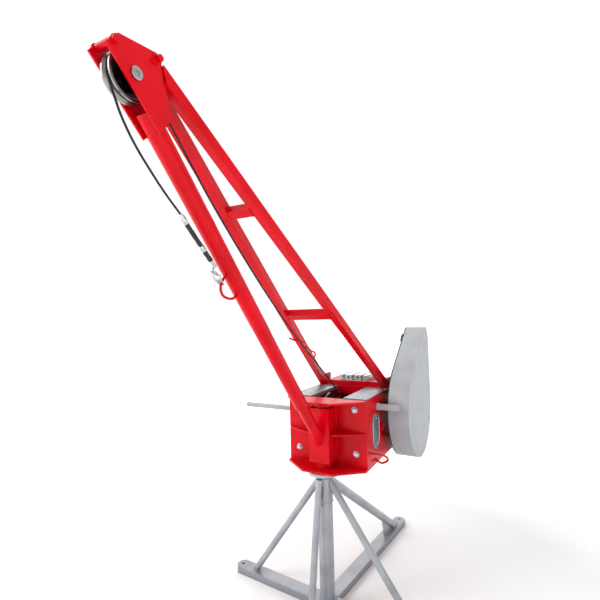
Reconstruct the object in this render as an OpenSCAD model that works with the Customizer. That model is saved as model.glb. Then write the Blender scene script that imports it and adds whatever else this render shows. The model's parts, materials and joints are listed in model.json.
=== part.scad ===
// Slewing hoist crane: red swinging head with boom and winch box on a silver four-legged stand.
// Millimetres. Z up, floor at z = 0, slewing axis on the Z axis, boom towards -Y, guard on +X.

/* [Stand] */
// Turn of the floor cross under the head, degrees
stand_turn = -6; // [-20:1:20]
// Reach of the left and right arms from the column axis
side_reach = 485; // [400:1:520]
// Reach of the long rear arm
rear_reach = 812; // [720:1:850]
// Reach of the short front arm
front_reach = 222; // [200:1:300]
// Width of the floor beams
beam_w = 60; // [50:1:80]
// Height of the floor beams
beam_h = 30; // [25:1:40]
// Wall of the floor beams
beam_wall = 3; // [2:0.5:4]
// Outer diameter of the column tube
column_d = 60.3; // [55:0.1:64]
// Outer diameter of the light struts
strut_d = 26.9; // [20:0.1:30]
// Outer diameter of the rear strut
rear_strut_d = 38; // [30:0.5:42]

/* [Housing] */
// Width of the winch box across the side plates
box_w = 354; // [340:1:380]
// Height of the winch box over its flanges
box_h = 280; // [260:1:300]
// Height of the box underside above the floor
box_z = 555; // [550:1:560]
// Distance of the front plate face behind the slewing axis
front_y = 33; // [30:1:38]
// Depth of the box behind the front plate face
box_depth = 480; // [470:1:520]
// Plate thickness of the flanges and walls
plate_t = 8; // [6:0.5:10]
// Outer width of the post around the pivot
post_w = 90; // [86:1:94]

/* [Boom] */
// Outer diameter of the boom tube
boom_d = 50.8; // [48:0.1:54]
// Wall of the boom tube
boom_wall = 4; // [3:0.1:4]
// Outer diameter of the stub tube inside the boom
stub_d = 42.4; // [40:0.1:42.5]
// Elevation of the boom in degrees
boom_elev = 48.7; // [48:0.1:49.4]
// Length of the boom from post face to tube top
boom_len = 1305; // [1290:1:1310]
// Length of the stub welded to the post
stub_len = 212; // [150:1:240]
// Side of the square tie tubes
tie_w = 30; // [25:1:32]

/* [Head and winch] */
// Outer radius of the head sheave
sheave_r = 56; // [52:1:60]
// Radius at the bottom of the sheave groove
groove_r = 48; // [44:1:52]
// Rope diameter
rope_d = 6; // [5:0.5:7]
// Radius of the winch drum core
drum_r = 40; // [36:1:44]
// Radius of the drum flanges
drum_flange_r = 85; // [78:1:88]
// Radius of the large guarded pulley
pulley_big_r = 190; // [170:1:200]
// Radius of the small guarded pulley
pulley_small_r = 42; // [36:1:50]

/* [Hidden] */
$fn = 48;
e = 0.05;

red = [0.84, 0.02, 0.10];
silver = [0.66, 0.67, 0.69];
steel = [0.72, 0.73, 0.75];
dark = [0.10, 0.10, 0.11];
bronze = [0.72, 0.52, 0.25];

// stand heights
strut_top_z = 500;
strut_top_r = 30;
side_foot = 380;
rear_foot = 705;
front_foot = 127;
hole_back = 25;
bolt_hole_d = 14;
cap_len = 55;
cap_cut = 17;
disc_z = 536;
disc_t = 12;
disc_r = 65;
pin_d = 50;
pin_top = 812;
bush_gap = 0.05;

// box
bx = box_w / 2;
box_top = box_z + box_h;
back_y = front_y + box_depth;
in_z0 = box_z + plate_t;
in_z1 = box_top - plate_t;
in_x = bx - plate_t;
rib_z = 700;
rib_t = 6;
flange_front = -72;
flange_half = 66;
flange_side_y = 16;
flange_back = front_y + plate_t;
cover_in = 74;
cover_t = 3;
deck_y = 340;
deck_top = 862;
deck_half = 138;
deck_t = 6;
post_wall = 6;
post_z0 = 588;
post_z1 = 806;
pivot_d = 70;
pivot_in = 58;

// winch
drum_y = 200;
drum_z = 740;
counter_y = 421;
counter_z = 745;
input_y = 571;
input_z = 1045;
shaft_d = 30;
drum_half = 56;
flange_t = 6;
chain_x = 92;
chain_w = 10;
drum_sprocket_r = 72;
counter_sprocket_r = 32;
belt_x = 240;
belt_w = 30;
belt_t = 4;
guard_x0 = 217;
guard_x1 = 305;
guard_r = 223;
guard_small_r = 67;
guard_wall = 2;
back_t = 5;

// boom
post_face = -post_w / 2;
boom_y0 = post_face;
boom_z0 = 688;
tie_foot = [162, 370, box_top];
tie_head = [24, -840, 1735];
tie_len = norm(tie_head - tie_foot);
cheek_in = boom_d / 2;
cheek_t = 5;
cheek_pts = [[-1033, 1755], [-1003, 1790], [-901, 1803], [-885, 1786], [-857, 1680], [-858, 1658], [-888, 1613]];
sheave_y = -958;
sheave_z = 1724;
sheave_w = 28;
axle_d = 20;
hub_half = 22;

// distance s along the boom axis to a point [x, y, z]
function boom_at(s) = [0, boom_y0 - s * cos(boom_elev), boom_z0 + s * sin(boom_elev)];

// place children with their local Z along the line from p to q, local X kept level
module along(p, q) {
  d = q - p;
  translate(p)
    rotate([0, acos(d[2] / norm(d)), atan2(d[1], d[0])])
      children();
}

module bar(p, q, d) {
  along(p, q)
    cylinder(d = d, h = norm(q - p));
}

module pipe(p, q, d, wall) {
  along(p, q)
    difference() {
      cylinder(d = d, h = norm(q - p));
      translate([0, 0, -1])
        cylinder(d = d - 2 * wall, h = norm(q - p) + 2);
    }
}

// cylinder along X from x0 to x1 centred at [y, z]
module xcyl(x0, x1, y, z, r) {
  translate([x0, y, z])
    rotate([0, 90, 0])
      cylinder(r = r, h = x1 - x0);
}

// plate standing across X from x0 to x1 with outline points [y, z]
module xplate(x0, x1, pts) {
  translate([x0, 0, 0])
    rotate([90, 0, 90])
      linear_extrude(x1 - x0)
        polygon(pts);
}

// drop-shaped block along X round two circles a = [y, z, r] and b = [y, z, r]
module drop(x0, x1, a, b) {
  L = norm([b[0] - a[0], b[1] - a[1]]);
  t = atan2(b[1] - a[1], b[0] - a[0]);
  w = acos((a[2] - b[2]) / L);
  ra = a[2] - 0.02;
  rb = b[2] - 0.02;
  xcyl(x0, x1, a[0], a[1], a[2]);
  xcyl(x0, x1, b[0], b[1], b[2]);
  xplate(x0, x1, [
    [a[0] + ra * cos(t + w), a[1] + ra * sin(t + w)],
    [a[0] + ra * cos(t - w), a[1] + ra * sin(t - w)],
    [b[0] + rb * cos(t - w), b[1] + rb * sin(t - w)],
    [b[0] + rb * cos(t + w), b[1] + rb * sin(t + w)]]);
}

// ---------------------------------------------------------------- stand
module on_stand(a) {
  rotate([0, 0, stand_turn + a])
    children();
}

// hollow beam along local X from x0 to x1 with straight ends
module beam(x0, x1) {
  translate([x0, -beam_w / 2, 0])
    difference() {
      cube([x1 - x0, beam_w, beam_h]);
      translate([-1, beam_wall, beam_wall])
        cube([x1 - x0 + 2, beam_w - 2 * beam_wall, beam_h - 2 * beam_wall]);
    }
}

module base_side_beam() {
  color(silver)
    on_stand(0)
      beam(-side_reach + cap_len, side_reach - cap_len);
}

module base_rear_beam() {
  color(silver)
    on_stand(90)
      beam(beam_w / 2, rear_reach - cap_len);
}

module base_front_beam() {
  color(silver)
    on_stand(-90)
      beam(beam_w / 2, front_reach - cap_len);
}

// solid end of an arm with cut corners, bored for the floor bolt
module end_cap(reach) {
  h = beam_w / 2;
  difference() {
    linear_extrude(beam_h)
      polygon([[reach - cap_len, -h], [reach - cap_cut, -h], [reach, -h + cap_cut], [reach, h - cap_cut],
        [reach - cap_cut, h], [reach - cap_len, h]]);
    translate([reach - hole_back, 0, -1])
      cylinder(d = bolt_hole_d, h = beam_h + 2);
  }
}

module beam_end_caps() {
  color(silver) {
    on_stand(0)
      end_cap(side_reach);
    on_stand(180)
      end_cap(side_reach);
    on_stand(90)
      end_cap(rear_reach);
    on_stand(-90)
      end_cap(front_reach);
  }
}

module column() {
  color(silver) {
    difference() {
      union() {
        translate([0, 0, beam_h])
          cylinder(d = column_d, h = disc_z - beam_h);
        translate([0, 0, beam_h])
          cylinder(d1 = column_d + 14, d2 = column_d, h = 7);
        translate([0, 0, 425])
          cylinder(d = column_d + 5, h = 95);
      }
      translate([0, 0, beam_h - 1])
        cylinder(d = column_d - 8, h = disc_z - beam_h + 2);
    }
  }
}

// strut from the column down to a foot on an arm at the given reach
module strut(foot, d) {
  intersection() {
    difference() {
      bar([strut_top_r - 14, 0, strut_top_z + 14 * (strut_top_z - beam_h) / (foot - strut_top_r)],
        [foot + 12, 0, beam_h - 12 * (strut_top_z - beam_h) / (foot - strut_top_r)], d);
      translate([0, 0, beam_h - 5])
        cylinder(d = column_d + 5 + 2 * e, h = 560);
    }
    translate([0, -50, beam_h])
      cube([900, 100, disc_z - beam_h - 2]);
  }
}

module side_struts() {
  color(silver) {
    on_stand(0)
      strut(side_foot, strut_d);
    on_stand(180)
      strut(side_foot, strut_d);
  }
}

module front_strut() {
  color(silver)
    on_stand(-90)
      intersection() {
        difference() {
          bar([strut_top_r + 12, 0, 520], [front_foot + 2, 0, 10], strut_d);
          translate([0, 0, beam_h - 5])
            cylinder(d = column_d + 5 + 2 * e, h = 560);
        }
        translate([0, -50, beam_h])
          cube([900, 100, disc_z - beam_h - 2]);
      }
}

module rear_strut() {
  color(silver)
    on_stand(90)
      strut(rear_foot, rear_strut_d);
}

module rear_gusset() {
  k = (strut_top_z - beam_h) / (rear_foot - strut_top_r);
  lift = rear_strut_d / 2 / cos(atan(k)) + e;
  gx0 = rear_foot - 150;
  gx1 = rear_foot - 40;
  color(silver)
    on_stand(90)
      rotate([90, 0, 0])
        translate([0, 0, -3])
          linear_extrude(6)
            polygon([[gx0 + 20, beam_h], [gx0, beam_h + (rear_foot - gx0) * k - lift],
              [gx1, beam_h + (rear_foot - gx1) * k - lift], [gx1, beam_h]]);
}

module slew_disc() {
  color(silver)
    translate([0, 0, disc_z])
      difference() {
        cylinder(r = disc_r, h = disc_t, $fn = 96);
        translate([0, 0, -1])
          cylinder(d = pin_d, h = disc_t + 2);
      }
}

module kingpin() {
  color(steel) {
    translate([0, 0, disc_z])
      cylinder(d = pin_d, h = pin_top - disc_z);
    translate([0, 0, pin_top])
      cylinder(d1 = pin_d, d2 = pin_d - 12, h = 6);
  }
}

module thrust_washer() {
  color(bronze)
    translate([0, 0, disc_z + disc_t])
      difference() {
        cylinder(r = disc_r - 4, h = box_z - disc_z - disc_t - 0.1, $fn = 96);
        translate([0, 0, -1])
          cylinder(d = pin_d + 0.4, h = 30);
      }
}

// ---------------------------------------------------------------- housing
module pivot_tube() {
  color(red)
    difference() {
      translate([0, 0, box_z])
        cylinder(d = pivot_d, h = box_h - plate_t);
      translate([0, 0, box_z - 1])
        cylinder(d = pivot_in, h = box_h + 2);
    }
}

module pivot_bushes() {
  color(bronze)
    for (z = [box_z, in_z1 - 50])
      translate([0, 0, z])
        difference() {
          cylinder(d = pivot_in, h = 50);
          translate([0, 0, -1])
            cylinder(d = pin_d + 2 * bush_gap, h = 52);
        }
}

module pivot_post() {
  h = post_z1 - post_z0;
  color(red)
    difference() {
      translate([-post_w / 2, post_face, post_z0])
        cube([post_w, front_y - post_face, h]);
      translate([-post_w / 2 + post_wall, post_face + post_wall, post_z0 - 1])
        cube([post_w - 2 * post_wall, front_y - post_face, h + 2]);
    }
}

module flange_outline(back) {
  polygon([[-bx, flange_side_y], [-flange_half, flange_front], [flange_half, flange_front],
    [bx, flange_side_y], [bx, back], [-bx, back]]);
}

module bottom_plate() {
  color(red)
    translate([0, 0, box_z])
      difference() {
        linear_extrude(plate_t)
          flange_outline(back_y);
        translate([0, 0, -1])
          cylinder(d = pivot_d, h = plate_t + 2);
      }
}

module top_flange() {
  color(red)
    translate([0, 0, in_z1])
      linear_extrude(plate_t)
        flange_outline(flange_back);
}

module front_plate() {
  color(red)
    difference() {
      translate([-bx, front_y, in_z0])
        cube([box_w, plate_t, in_z1 - in_z0]);
      translate([0, 0, in_z0 - 1])
        cylinder(d = pivot_d, h = box_h);
    }
}

module side_wall(s) {
  difference() {
    translate([s > 0 ? in_x : -bx, flange_back, in_z0])
      cube([plate_t, back_y - flange_back, box_top - in_z0]);
    xcyl(-bx - 1, bx + 1, counter_y, counter_z, 24);
  }
}

module side_plate_left() {
  color(red)
    side_wall(-1);
}

module side_plate_right() {
  color(red)
    side_wall(1);
}

module rear_plate() {
  color(red)
    translate([-in_x, back_y - plate_t, in_z0])
      cube([2 * in_x, plate_t, box_top - in_z0]);
}

module mid_ribs() {
  color(red)
    for (s = [-1, 1])
      translate([0, 0, rib_z - rib_t / 2])
        linear_extrude(rib_t)
          polygon([[s * post_w / 2, front_y], [s * post_w / 2, -30], [s * (post_w / 2 + 30), -26],
            [s * (bx - 14), front_y - 14], [s * bx, front_y]]);
}

module rear_deck() {
  color(red)
    union() {
      translate([-in_x, deck_y, box_top - 35])
        cube([2 * in_x, deck_t, 35]);
      translate([-deck_half, deck_y, box_top])
        cube([2 * deck_half, deck_t, deck_top - box_top]);
      translate([-deck_half, deck_y, deck_top - deck_t])
        cube([2 * deck_half, back_y - deck_y, deck_t]);
      for (x = [-deck_half, deck_half - deck_t])
        translate([x, deck_y, box_top])
          cube([deck_t, back_y - deck_y, deck_top - box_top]);
      translate([-deck_half, back_y - deck_t, box_top])
        cube([2 * deck_half, deck_t, deck_top - box_top]);
    }
}

module deck_profile() {
  y0 = deck_y + 8;
  L = 162;
  h = 28;
  color(steel)
    difference() {
      translate([-70, y0, deck_top])
        cube([140, L, h]);
      for (x = [-47, 0, 47]) {
        translate([x - 4, y0 - 1, deck_top + h - 8])
          cube([8, L + 2, 9]);
        translate([x - 9, y0 - 1, deck_top + h - 14])
          cube([18, L + 2, 7]);
        translate([x, y0 - 1, deck_top + 7])
          rotate([-90, 0, 0])
            cylinder(d = 8, h = L + 2);
      }
      translate([-24, y0 - 1, deck_top + h - 12])
        rotate([-90, 0, 0])
          cylinder(d = 10, h = L + 2);
      translate([24, y0 - 1, deck_top + h - 12])
        rotate([-90, 0, 0])
          cylinder(d = 10, h = L + 2);
    }
}

cover_y0 = flange_back + 4;
slot_z = 692;
slot_r = 40;

module top_covers() {
  color(steel)
    for (s = [-1, 1])
      difference() {
        union() {
          translate([s > 0 ? cover_in : -bx, cover_y0, box_top])
            cube([bx - cover_in, deck_y - cover_y0 - 1, cover_t]);
          translate([s > 0 ? cover_in : -cover_in - 2, cover_y0, box_top - 12])
            cube([2, deck_y - cover_y0 - 1, 12]);
        }
        for (y = [cover_y0 + 16, cover_y0 + 268])
          translate([s * (bx - plate_t / 2), y, box_top - 20])
            cylinder(d = 4.2, h = 40);
      }
}

module cover_screws() {
  color(steel)
    for (s = [-1, 1])
      for (y = [cover_y0 + 16, cover_y0 + 268])
        translate([s * (bx - plate_t / 2), y, box_top])
          union() {
            translate([0, 0, cover_t])
              cylinder(d1 = 7.6, d2 = 5.5, h = 2.6);
            cylinder(d = 4, h = cover_t + 1);
          }
}

module front_bolts() {
  color(steel)
    for (p = [[-128, 796], [128, 796], [-130, 618], [130, 618]])
      translate([p[0], front_y, p[1]])
        rotate([90, 0, 0])
          union() {
            cylinder(d = 26, h = 2.5);
            translate([0, 0, 2.5])
              cylinder(d = 20.8, h = 7.5, $fn = 6);
            translate([0, 0, 10])
              cylinder(d = 11, h = 2.5);
          }
}

module slot_cover() {
  color(steel)
    difference() {
      union() {
        for (z = [slot_z - 34, slot_z + 34])
          xcyl(bx, bx + 3, 142, z, slot_r);
        translate([bx, 142 - slot_r, slot_z - 34])
          cube([3, 2 * slot_r, 68]);
        for (z = [slot_z - 52, slot_z + 52])
          xcyl(bx + 3, bx + 6, 142, z, 6);
      }
      for (z = [slot_z - 52, slot_z + 52])
        xcyl(bx + 4, bx + 7, 142, z, 3);
    }
}

module push_bars() {
  color(silver) {
    xcyl(bx, bx + 9, 172, 786, 15);
    translate([bx + 9, 172 - 11, 786 - 11])
      cube([87, 22, 22]);
    xcyl(-bx - 9, -bx, 172, 744, 16);
    xcyl(-bx - 325, -bx - 9, 172, 744, 11);
    xcyl(-bx - 329, -bx - 325, 172, 744, 9);
  }
}

module side_eye() {
  color(red) {
    sweep([[bx, 60, 621], [bx + 13, 78, 614], [bx + 26, 104, 606], [bx + 36, 136, 592], [bx + 41, 164, 574],
      [bx + 37, 174, 560], [bx + 27, 162, 555], [bx + 17, 140, 560], [bx + 9, 133, 568], [bx, 134, 574]], 9, [1, 0, 1]);
    translate([bx, 232, 686])
      rotate([0, 90, 0])
        difference() {
          cylinder(d = 30, h = 10);
          translate([0, 0, -1])
            cylinder(d = 18, h = 12);
          translate([-20, 2, -1])
            cube([40, 20, 12]);
        }
  }
}

module shaft_bearings() {
  color(dark)
    for (p = [[drum_y, drum_z], [counter_y, counter_z]])
      for (s = [-1, 1])
        difference() {
          union() {
            xcyl(s > 0 ? in_x - 10 : -in_x, s > 0 ? in_x : -in_x + 10, p[0], p[1], 42);
            xcyl(s > 0 ? in_x - 24 : -in_x, s > 0 ? in_x : -in_x + 24, p[0], p[1], 26);
          }
          xcyl(-bx, bx, p[0], p[1], shaft_d / 2 + 0.05);
        }
}

// ---------------------------------------------------------------- guard and drive
ga = [counter_y, counter_z, guard_r];
gb = [input_y, input_z, guard_small_r];
ga_in = [counter_y, counter_z, guard_r - guard_wall];
gb_in = [input_y, input_z, guard_small_r - guard_wall];

module guard_shell() {
  color(steel)
    difference() {
      drop(guard_x0, guard_x1, ga, gb);
      drop(guard_x0 - 1, guard_x1 - guard_wall, ga_in, gb_in);
    }
}

module guard_back() {
  color(dark)
    difference() {
      union() {
        drop(guard_x0 - back_t, guard_x0, ga, gb);
        xcyl(guard_x0 - back_t - 22, guard_x0 - back_t, input_y, input_z, 34);
      }
      xcyl(guard_x0 - 60, guard_x0 + 1, counter_y, counter_z, 30);
      xcyl(guard_x0 - 60, guard_x0 + 1, input_y, input_z, 12.55);
    }
}

module guard_standoffs() {
  color(steel)
    for (p = [[350, 620], [350, 815], [480, 610], [480, 815]])
      xcyl(bx, guard_x0 - back_t, p[0], p[1], 9);
}

module drive_belt() {
  color(dark)
    difference() {
      drop(belt_x, belt_x + belt_w - 8, [counter_y, counter_z, pulley_big_r + belt_t + 0.3],
        [input_y, input_z, pulley_small_r + belt_t + 0.3]);
      drop(belt_x - 1, belt_x + belt_w, [counter_y, counter_z, pulley_big_r + 0.3],
        [input_y, input_z, pulley_small_r + 0.3]);
    }
}

module drive_chain() {
  color(dark)
    difference() {
      drop(chain_x + 1, chain_x + chain_w - 1, [drum_y, drum_z, drum_sprocket_r + 7],
        [counter_y, counter_z, counter_sprocket_r + 7]);
      drop(chain_x, chain_x + chain_w, [drum_y, drum_z, drum_sprocket_r + 0.5],
        [counter_y, counter_z, counter_sprocket_r + 0.5]);
    }
}

module drum() {
  color(steel) {
    xcyl(-in_x + 2, in_x - 2, drum_y, drum_z, shaft_d / 2);
    xcyl(-drum_half, drum_half, drum_y, drum_z, drum_r);
    for (x = [-drum_half - flange_t, drum_half])
      xcyl(x, x + flange_t, drum_y, drum_z, drum_flange_r);
    xcyl(drum_half, chain_x, drum_y, drum_z, 26);
    xcyl(chain_x + 1, chain_x + chain_w - 1, drum_y, drum_z, drum_sprocket_r);
    xcyl(-drum_half + 3, drum_half - 3, drum_y, drum_z, drum_r + rope_d);
  }
}

module counter_shaft() {
  color(steel) {
    xcyl(-in_x + 2, guard_x0 + 60, counter_y, counter_z, shaft_d / 2);
    xcyl(chain_x + 1, chain_x + chain_w - 1, counter_y, counter_z, counter_sprocket_r);
    xcyl(chain_x - 14, chain_x + 1, counter_y, counter_z, 22);
  }
}

module large_pulley() {
  x1 = belt_x + belt_w - 6;
  color(dark)
    difference() {
      union() {
        xcyl(belt_x - 2, x1, counter_y, counter_z, pulley_big_r);
        xcyl(belt_x - 8, x1 + 8, counter_y, counter_z, 30);
      }
      for (x = [belt_x - 3, x1 - 8])
        difference() {
          xcyl(x, x + 9, counter_y, counter_z, pulley_big_r - 14);
          xcyl(x - 1, x + 10, counter_y, counter_z, 30);
        }
      for (a = [0 : 60 : 300])
        xcyl(belt_x - 3, x1 + 1, counter_y + 105 * cos(a), counter_z + 105 * sin(a), 38);
      xcyl(belt_x - 9, x1 + 9, counter_y, counter_z, shaft_d / 2);
    }
}

module small_pulley() {
  color(dark) {
    xcyl(guard_x0 - back_t - 30, belt_x - 2, input_y, input_z, 12.5);
    xcyl(belt_x - 2, belt_x + belt_w - 6, input_y, input_z, pulley_small_r);
    xcyl(belt_x + belt_w - 6, belt_x + belt_w + 4, input_y, input_z, 18);
  }
}

// ---------------------------------------------------------------- boom
module boom_stub() {
  color(red)
    difference() {
      pipe(boom_at(-30), boom_at(stub_len + 90), stub_d, 3.2);
      translate([-60, post_face, 500])
        cube([120, 120, 400]);
    }
}

module boom_tube() {
  color(red) {
    pipe(boom_at(stub_len), boom_at(boom_len), boom_d, boom_wall);
    bar(boom_at(boom_len - 5), boom_at(boom_len - 1), boom_d - 2 * boom_wall + 1);
  }
}

// square tube along a tie, in tie coordinates, kept above the floor of the tie foot
module tie(s) {
  p = [s * tie_foot[0], tie_foot[1], tie_foot[2]];
  q = [s * tie_head[0], tie_head[1], tie_head[2]];
  d = q - p;
  el = asin(d[2] / norm(d));
  az = atan2(d[1], d[0]);
  difference() {
    translate(p)
      rotate([0, -el, az])
        translate([-60, -tie_w / 2, -tie_w / 2])
          difference() {
            cube([tie_len + 60 + 60, tie_w, tie_w]);
            translate([-1, 2.5, 2.5])
              cube([tie_len + 130, tie_w - 5, tie_w - 5]);
          }
    translate([-300, 100, box_top - 200])
      cube([600, 500, 200]);
    xplate(-80, 80, [[-1100, 1850], [-901, 1850], [-885, 1786], [-857, 1680], [-858, 1400], [-1100, 1400]]);
  }
}

module tie_left() {
  color(red)
    tie(-1);
}

module tie_right() {
  color(red)
    tie(1);
}

// cross brace at fraction t of the tie
module brace(t) {
  c = tie_foot + t * (tie_head - tie_foot);
  tilt = atan2(tie_head[2] - tie_foot[2], tie_foot[1] - tie_head[1]);
  difference() {
    translate([0, c[1], c[2]])
      rotate([-tilt, 0, 0])
        difference() {
          cube([2 * c[0] + 20, tie_w, tie_w], center = true);
          cube([2 * c[0] + 22, tie_w - 5, tie_w - 5], center = true);
        }
    for (s = [-1, 1])
      tie_core(s);
  }
}

// solid outline of one tie, used to trim the braces to the tie faces
module tie_core(s) {
  p = [s * tie_foot[0], tie_foot[1], tie_foot[2]];
  q = [s * tie_head[0], tie_head[1], tie_head[2]];
  d = q - p;
  translate(p)
    rotate([0, -asin(d[2] / norm(d)), atan2(d[1], d[0])])
      translate([0, -tie_w / 2, -tie_w])
        cube([tie_len, tie_w + (s > 0 ? 60 : 0), 2 * tie_w]);
}

module brace_upper() {
  color(red)
    brace(0.751);
}

module brace_lower() {
  color(red)
    brace(0.393);
}

module tie_gussets() {
  color(red)
    for (s = [-1, 1])
      xplate(s > 0 ? in_x : -bx, s > 0 ? bx : -in_x,
        [[396.5, box_top], [345, 873.5], [352, 884], [462, 884], [462, box_top]]);
}

module tie_rope_leads() {
  color(red) {
    sweep([[-156, 4, 1090], [-140, 10, 1082], [-120, 18, 1076], [-100, 26, 1072], [-88, 30, 1072]], 9, [0, 0, 1]);
    sweep([[-118, 84, 1046], [-102, 84, 1038], [-87, 85, 1026], [-75, 86, 1021], [-72, 87, 1010], [-78, 88, 1000],
      [-89, 90, 998], [-98, 92, 1005], [-98, 94, 1016]], 8, [0, 1, 0]);
  }
}

module d_handle() {
  color(red)
    sweep([[0, -620, 1306.7], [0, -632, 1295], [0, -641, 1283], [0, -645, 1270], [0, -642, 1256], [0, -633, 1246],
      [0, -618, 1241], [0, -603, 1239], [0, -588, 1240.5], [0, -571, 1250.5]], 8);
}

// ---------------------------------------------------------------- head
module cheek(s) {
  difference() {
    xplate(s > 0 ? cheek_in : -cheek_in - cheek_t, s > 0 ? cheek_in + cheek_t : -cheek_in, cheek_pts);
    xcyl(-60, 60, sheave_y, sheave_z, axle_d / 2);
  }
}

module cheek_left() {
  color(red)
    cheek(-1);
}

module cheek_right() {
  color(red)
    cheek(1);
}

module head_spacers() {
  color(red)
    for (p = [[-1011, 1771, 9.5, 7], [-899, 1787, 12.5, 4]])
      union() {
        xcyl(-cheek_in, cheek_in, p[0], p[1], 8.5);
        for (s = [-1, 1])
          xcyl(s > 0 ? cheek_in + cheek_t : -cheek_in - cheek_t - p[3],
            s > 0 ? cheek_in + cheek_t + p[3] : -cheek_in - cheek_t, p[0], p[1], p[2]);
        if (p[2] > 10)
          xcyl(cheek_in + cheek_t + p[3], cheek_in + cheek_t + 15, p[0], p[1], 8);
      }
}

module axle_pin() {
  color(steel) {
    xcyl(-cheek_in - cheek_t - 8, cheek_in + cheek_t, sheave_y, sheave_z, axle_d / 2);
    xcyl(cheek_in + cheek_t, cheek_in + cheek_t + 6, sheave_y, sheave_z, 15);
    xcyl(-cheek_in - cheek_t - 8, -cheek_in - cheek_t, sheave_y, sheave_z, 14);
  }
}

module sheave() {
  color(dark)
    translate([0, sheave_y, sheave_z])
      rotate([0, 90, 0])
        rotate_extrude($fn = 96)
          polygon([[axle_d / 2 + 0.05, -hub_half], [18, -hub_half], [18, -9], [groove_r - 12, -6],
            [sheave_r - 6, -sheave_w / 2], [sheave_r, -sheave_w / 2], [sheave_r, -sheave_w / 2 + 4], [groove_r, -3.2], [groove_r, 3.2],
            [sheave_r, sheave_w / 2 - 4], [sheave_r, sheave_w / 2], [sheave_r - 6, sheave_w / 2],
            [groove_r - 12, 6], [18, 9], [18, hub_half], [axle_d / 2 + 0.05, hub_half]]);
}

// ---------------------------------------------------------------- rope
lead_r = groove_r + rope_d / 2 + 0.3;
latch_pivot = [-679, 1314];
rope_pts = concat(
  [[0, 232, 778], [0, 157, 842], [0, 95, 893], [0, 0, 960], [0, -113, 1036], [0, -200, 1098], [0, -300, 1173],
   [0, -420, 1271], [0, -540, 1376], [0, -668, 1496], [0, -742, 1573], [0, -811, 1649], [0, -870, 1709]],
  [for (a = [45 : 10 : 205]) [0, sheave_y + lead_r * cos(a), sheave_z + lead_r * sin(a)]],
  [[0, -990, 1667], [0, -973, 1629], [0, -938, 1579], [0, -893, 1532], [0, -848, 1489], [0, -797, 1448]]);

// ring of ten points round pts[i], side is a direction that the wire never runs along
function ring_at(pts, i, d, side) =
  let (t = pts[min(i + 1, len(pts) - 1)] - pts[max(i - 1, 0)],
    v = cross(t, side) / norm(cross(t, side)), u = cross(v, t) / norm(t))
    [for (k = [0 : 9]) pts[i] + d / 2 * (cos(36 * k) * u + sin(36 * k) * v)];

// round wire of diameter d through the points
module sweep(pts, d, side = [1, 0, 0]) {
  n = len(pts);
  polyhedron(
    points = [for (i = [0 : n - 1]) each ring_at(pts, i, d, side)],
    faces = concat(
      [[for (k = [0 : 9]) k]],
      [[for (k = [9 : -1 : 0]) (n - 1) * 10 + k]],
      [for (i = [0 : n - 2]) for (k = [0 : 9])
        [(i + 1) * 10 + k, (i + 1) * 10 + (k + 1) % 10, i * 10 + (k + 1) % 10, i * 10 + k]]));
}

module hoist_rope() {
  color(dark)
    sweep(rope_pts, rope_d);
}

module rope_fittings() {
  color(steel) {
    bar([0, -797, 1448], [0, -778, 1428], 15);
    bar([0, -778, 1428], [0, -724, 1378], 13);
    bar([0, -724, 1378], [0, -712, 1366], 17);
    bar([0, -712, 1366], [0, -684, 1342], 14);
    bar([0, -684, 1342], [0, -668, 1329], 10);
  }
}

module hook() {
  color(steel) {
    bar([0, -668, 1331], [0, -673, 1324], 11);
    sweep([[0, -669, 1329], [0, -677, 1321], [0, -680, 1311], [0, -677, 1300], [0, -669, 1291], [0, -658, 1286],
      [0, -649, 1288], [0, -645, 1296], [0, -647, 1306]], 6);
    xcyl(-5.6, 5.6, latch_pivot[0], latch_pivot[1], 1.4);
  }
}

module hook_latch() {
  color(steel) {
    for (x = [-4.6, 3.6])
      difference() {
        union() {
          xplate(x, x + 1, [[-679.8, 1311.6], [-678, 1316.4], [-650.6, 1305], [-651.8, 1301.2]]);
          xcyl(x, x + 1, latch_pivot[0], latch_pivot[1], 3);
        }
        xcyl(x - 1, x + 2, latch_pivot[0], latch_pivot[1], 1.45);
      }
    xcyl(-4.6, 4.6, -651.4, 1303.1, 1.4);
  }
}

module shackle() {
  color(steel) {
    sweep([[-8, -658, 1292.8], [-8.5, -651, 1287.7], [-8.5, -644, 1282.5], [-6, -639.5, 1279], [0, -637.2, 1277.2],
      [6, -639.5, 1279], [8.5, -644, 1282.5], [8.5, -651, 1287.7], [8, -658, 1292.8]], 4, [0, 0.593, 0.805]);
    xcyl(-12, 12, -658, 1292.8, 2.5);
  }
}

base_side_beam();
base_rear_beam();
base_front_beam();
beam_end_caps();
column();
side_struts();
front_strut();
rear_strut();
rear_gusset();
slew_disc();
kingpin();
thrust_washer();
pivot_tube();
pivot_bushes();
pivot_post();
bottom_plate();
top_flange();
front_plate();
side_plate_left();
side_plate_right();
rear_plate();
mid_ribs();
rear_deck();
deck_profile();
top_covers();
cover_screws();
front_bolts();
slot_cover();
push_bars();
side_eye();
shaft_bearings();
guard_shell();
guard_back();
guard_standoffs();
drive_belt();
drive_chain();
boom_stub();
boom_tube();
tie_left();
tie_right();
brace_upper();
brace_lower();
tie_gussets();
tie_rope_leads();
d_handle();
cheek_left();
cheek_right();
head_spacers();
axle_pin();
sheave();
drum();
counter_shaft();
large_pulley();
small_pulley();
hoist_rope();
rope_fittings();
hook();
hook_latch();
shackle();
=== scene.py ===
# %% [markdown]
# # A slewing hoist crane
# The crane is a red winch housing with an inclined boom, and it turns on a silver four-legged floor stand.
# The frame that loads here already holds every plate, tube and wheel at its real size and place. This
# lesson paints those parts, and then adds what a maker would finish by hand: laid wire rope, weld beads,
# turned rope terminals, a roller chain and bent round-bar eyes.

# %% Load the frame
import json
import math
import bmesh
import bpy
from mathutils import Matrix, Vector


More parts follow.
